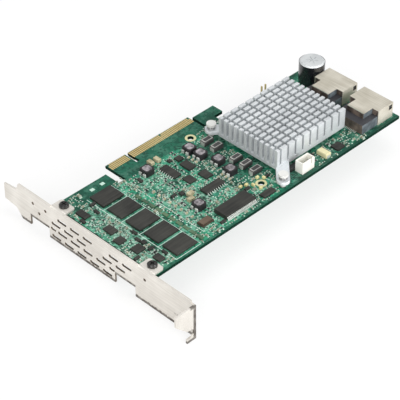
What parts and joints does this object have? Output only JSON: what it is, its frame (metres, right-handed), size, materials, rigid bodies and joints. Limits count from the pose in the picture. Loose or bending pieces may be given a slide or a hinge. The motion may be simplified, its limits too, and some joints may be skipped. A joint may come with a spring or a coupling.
{
  "type": "raid controller card",
  "caption": "Expansion card with a pin-fin heatsink, memory chips, rear drive-cable ports and an edge connector, on a vented full-height slot bracket.",
  "frame": {"origin": "under the middle of the card, level with the bracket's lowest edge", "axes": "+X along the card from the bracket to the rear ports, +Y towards the edge connector, +Z out of the component side"},
  "size_m": [0.1688, 0.12, 0.03],
  "materials": {
    "board_laminate": "glass-fibre laminate under glossy green solder mask",
    "bracket_nickel": "nickel-plated sheet steel",
    "can_aluminium": "plain aluminium can",
    "ceramic_tan": "fired ceramic",
    "chip_black": "moulded epoxy",
    "contact_gold": "gold-plated copper",
    "core_silver": "silver-grey ferrite",
    "ferrite_dark": "black ferrite",
    "header_white": "white moulded plastic",
    "heatsink_aluminium": "clear-anodised aluminium",
    "jumper_black": "moulded plastic",
    "lead_tin": "tinned lead",
    "nut_steel": "zinc-plated steel",
    "oscillator_ceramic": "brown ceramic",
    "oscillator_metal": "sealed metal lid",
    "package_dark": "laminate chip package",
    "pad_grey": "soft thermal pad",
    "pin_gold": "gold-plated pin",
    "pin_nylon": "white moulded nylon",
    "polymer_grey": "grey moulded epoxy",
    "port_black": "moulded plastic",
    "port_shell_metal": "plated sheet",
    "resistor_black": "glazed resistor",
    "ring_tin": "tinned copper ring",
    "screw_black": "black-finished steel",
    "sleeve_black": "shrunk plastic sleeve",
    "spring_steel": "plated spring wire",
    "tantalum_cream": "cream moulded epoxy"
  },
  "bodies": {
    "root": {"board_hole_rings": "ring_tin", "bracket_nuts": "nut_steel", "bracket_screws": "screw_black", "cable_header": "header_white", "cable_header_pins": "lead_tin", "capacitor_can": "can_aluminium", "capacitor_leads": "lead_tin", "capacitor_sleeve": "sleeve_black", "ceramic_capacitors": "ceramic_tan", "chip_capacitors": "ceramic_tan", "chip_end_caps": "lead_tin", "chip_resistors": "resistor_black", "circuit_board": "board_laminate", "controller_chip": "package_dark", "edge_contacts": "contact_gold", "flash_chip": "chip_black", "flash_chip_leads": "lead_tin", "heatsink": "heatsink_aluminium", "heatsink_push_pins": "pin_nylon", "inductor_cores": "core_silver", "io_bracket": "bracket_nickel", "jumper_base": "jumper_black", "jumper_pins": "pin_gold", "logic_chips": "chip_black", "memory_chip_1": "chip_black", "memory_chip_2": "chip_black", "memory_chip_3": "chip_black", "memory_chip_4": "chip_black", "memory_chip_5": "chip_black", "oscillator_base": "oscillator_ceramic", "oscillator_lid": "oscillator_metal", "polymer_capacitors": "polymer_grey", "polymer_terminals": "lead_tin", "power_inductors": "ferrite_dark", "push_pin_springs": "spring_steel", "regulator_chips": "chip_black", "resistor_arrays": "resistor_black", "sas_port_contacts_1": "lead_tin", "sas_port_contacts_2": "lead_tin", "sas_port_housing_1": "port_black", "sas_port_housing_2": "port_black", "sas_port_shell_1": "port_shell_metal", "sas_port_shell_2": "port_shell_metal", "small_outline_chips": "chip_black", "small_outline_leads": "lead_tin", "solder_joints": "lead_tin", "tantalum_capacitor": "tantalum_cream", "tantalum_terminals": "lead_tin", "thermal_pad": "pad_grey"}
  },
  "joints": []
}
